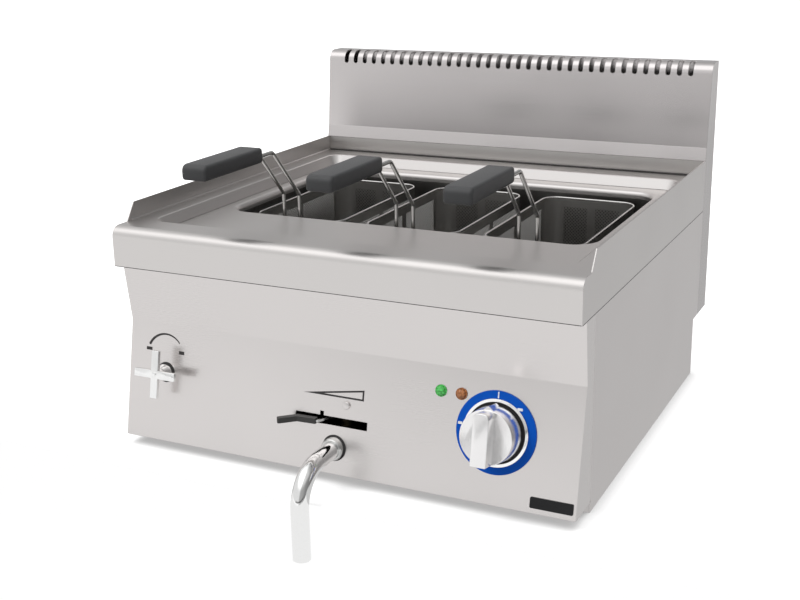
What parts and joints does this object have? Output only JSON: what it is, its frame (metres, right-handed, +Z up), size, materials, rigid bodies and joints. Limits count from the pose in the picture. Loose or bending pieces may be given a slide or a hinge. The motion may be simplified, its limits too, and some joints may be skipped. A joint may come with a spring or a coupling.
{
  "type": "pasta cooker",
  "caption": "Countertop electric pasta cooker: steel body with pressed worktop and well, lift-out baskets, slotted splashback, dial, water tap and lever-worked drain spout.",
  "frame": {"origin": "on the table plane under the middle of the body (middle of the lip-to-rear depth)", "axes": "+Z up, front panel faces -Y, +X to the right seen from the front"},
  "size_m": [0.6, 0.6947, 0.5],
  "materials": {
    "steel": "brushed",
    "well_steel": "satin",
    "basket_steel": "satin",
    "wire_steel": "polished",
    "grip_plastic": "matte",
    "polished": "polished",
    "plain_steel": "satin",
    "brass": "satin",
    "copper_pipe": "satin",
    "dark_plastic": "matte",
    "pale_plastic": "matte",
    "blue_plastic": "gloss",
    "silver_plastic": "satin",
    "green_lens": "gloss",
    "orange_lens": "gloss",
    "black_plate": "gloss",
    "heater_steel": "satin"
  },
  "bodies": {
    "cabinet": {"base_plate": "steel", "side_panel_left": "steel", "side_panel_right": "steel", "front_panel": "steel", "worktop": "steel", "splashback": "steel", "rear_panel": "steel", "rear_lower_panel": "steel", "rear_screws": "plain_steel", "well": "well_steel", "rack": "well_steel", "heaters": "heater_steel", "heater_flanges": "brass", "drain_pipe": "plain_steel", "valve_body": "brass", "drain_collar": "polished", "drain_spout": "polished", "tap_body": "brass", "tap_bonnet": "polished", "supply_pipe": "copper_pipe", "fill_pipe": "copper_pipe", "inlet_nipple": "brass", "cable_gland": "dark_plastic", "dial_ring": "blue_plastic", "dial_bezel": "polished", "regulator": "dark_plastic", "lamp_holders": "dark_plastic", "lamp_green": "green_lens", "lamp_orange": "orange_lens", "badge_plate": "black_plate", "panel_plug": "polished", "contactor": "dark_plastic", "terminal_block": "pale_plastic", "limit_switch": "dark_plastic"},
    "knob_unit": {"knob": "silver_plastic", "knob_shaft": "plain_steel"},
    "tap_unit": {"tap_cross": "polished", "tap_stem": "plain_steel"},
    "lever_unit": {"lever_arm": "plain_steel", "lever_grip": "dark_plastic", "valve_stem": "plain_steel"},
    "basket_left": {"basket_left_shell": "basket_steel", "basket_left_rim": "wire_steel", "basket_left_handle": "wire_steel", "basket_left_grip": "grip_plastic"},
    "basket_middle": {"basket_middle_shell": "basket_steel", "basket_middle_rim": "wire_steel", "basket_middle_handle": "wire_steel", "basket_middle_grip": "grip_plastic"},
    "basket_right": {"basket_right_shell": "basket_steel", "basket_right_rim": "wire_steel", "basket_right_handle": "wire_steel", "basket_right_grip": "grip_plastic"}
  },
  "joints": [
    {"name": "regulator_turn", "type": "hinge", "parent": "cabinet", "child": "knob_unit", "pos_m": [0.2008, -0.28785, 0.09411], "axis": [0, -0.9796, 0.2011], "range_deg": [-280, 0]},
    {"name": "tap_turn", "type": "hinge", "parent": "cabinet", "child": "tap_unit", "pos_m": [-0.2446, -0.2868, 0.0992], "axis": [0, -0.9796, 0.2011], "range_deg": [0, 90]},
    {"name": "drain_lever_turn", "type": "hinge", "parent": "cabinet", "child": "lever_unit", "pos_m": [0, -0.26177, 0.075], "axis": [0, 0, 1], "range_deg": [0, 90]},
    {"name": "basket_left_lift", "type": "slide", "parent": "cabinet", "child": "basket_left", "axis": [0, 0, 1], "range_m": [0, 0.3]},
    {"name": "basket_middle_lift", "type": "slide", "parent": "cabinet", "child": "basket_middle", "axis": [0, 0, 1], "range_m": [0, 0.3]},
    {"name": "basket_right_lift", "type": "slide", "parent": "cabinet", "child": "basket_right", "axis": [0, 0, 1], "range_m": [0, 0.3]}
  ]
}
